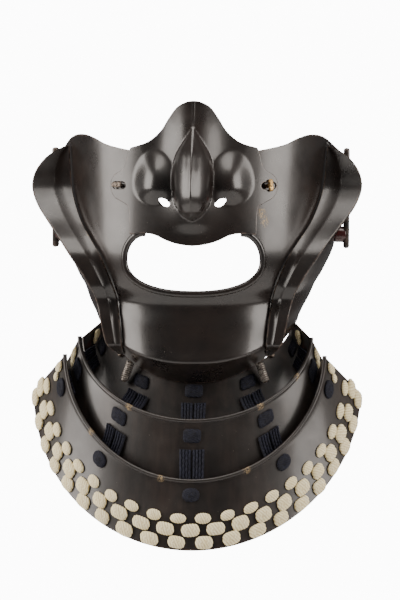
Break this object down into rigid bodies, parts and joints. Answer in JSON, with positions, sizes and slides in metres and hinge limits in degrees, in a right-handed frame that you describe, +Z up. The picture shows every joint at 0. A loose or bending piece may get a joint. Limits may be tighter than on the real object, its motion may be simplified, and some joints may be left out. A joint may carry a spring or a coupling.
{
  "type": "samurai face guard",
  "caption": "Lacquered half-face guard with a removable nose piece, flared cheek flanges, side hooks and a laced throat guard hung with silk rows.",
  "frame": {"origin": "in the plane of symmetry, level with the chin, where the wearer's jaw sits in the hollow", "axes": "+Z up, -Y out of the face, +X to the wearer's left, so the nodes called left are on the -X side"},
  "size_m": [0.1878, 0.123, 0.2456],
  "materials": {
    "dark_lacquer": "glossy dark brown-black lacquer over iron, red lacquer inside, worn at its edges",
    "lame_lacquer": "satin dark brown lacquer, matte along the lower band",
    "worn_iron": "worn grey-brown iron",
    "worn_gilt": "rubbed gilt over iron",
    "navy_silk": "matte braided silk",
    "cream_silk": "matte ribbed silk cord"
  },
  "bodies": {
    "root": {"face_plate": "dark_lacquer", "nose_piece": "dark_lacquer", "cheek_flange_right": "dark_lacquer", "cheek_flange_left": "dark_lacquer", "cord_hook_left": "dark_lacquer", "cord_hook_right": "dark_lacquer", "chin_post_left": "worn_iron", "chin_post_right": "worn_iron", "throat_lame_1": "lame_lacquer", "throat_lame_2": "lame_lacquer", "throat_lame_3": "lame_lacquer", "rim_rivet_1": "worn_iron", "rim_rivet_2": "worn_iron", "rim_rivet_3": "worn_iron", "rim_rivet_4": "worn_iron", "lacing_centre_1": "navy_silk", "lacing_centre_2": "navy_silk", "lacing_centre_3": "navy_silk", "lacing_left_1": "navy_silk", "lacing_left_2": "navy_silk", "lacing_left_3": "navy_silk", "lacing_right_1": "navy_silk", "lacing_right_2": "navy_silk", "lacing_right_3": "navy_silk", "lacing_rear_left_1": "navy_silk", "lacing_rear_left_2": "navy_silk", "lacing_rear_left_3": "navy_silk", "lacing_rear_right_1": "navy_silk", "lacing_rear_right_2": "navy_silk", "lacing_rear_right_3": "navy_silk", "corner_lacing_left_1": "cream_silk", "corner_lacing_left_2": "cream_silk", "corner_lacing_left_3": "cream_silk", "corner_lacing_right_1": "cream_silk", "corner_lacing_right_2": "cream_silk", "corner_lacing_right_3": "cream_silk", "silk_row_top": "cream_silk", "silk_row_middle": "cream_silk", "silk_row_bottom": "cream_silk"},
    "stud_left": {"nose_stud_left": "worn_iron"},
    "stud_right": {"nose_stud_right": "worn_gilt"}
  },
  "joints": [
    {"name": "stud_left_turn", "type": "hinge", "parent": "root", "child": "stud_left", "pos_m": [-0.04029, -0.07493, 0.08214], "axis": [-0.5164, -0.8425, 0.1532], "range_deg": [0, 90]},
    {"name": "stud_right_turn", "type": "hinge", "parent": "root", "child": "stud_right", "pos_m": [0.04029, -0.07493, 0.08214], "axis": [0.5164, -0.8425, 0.1532], "range_deg": [-90, 0]}
  ]
}
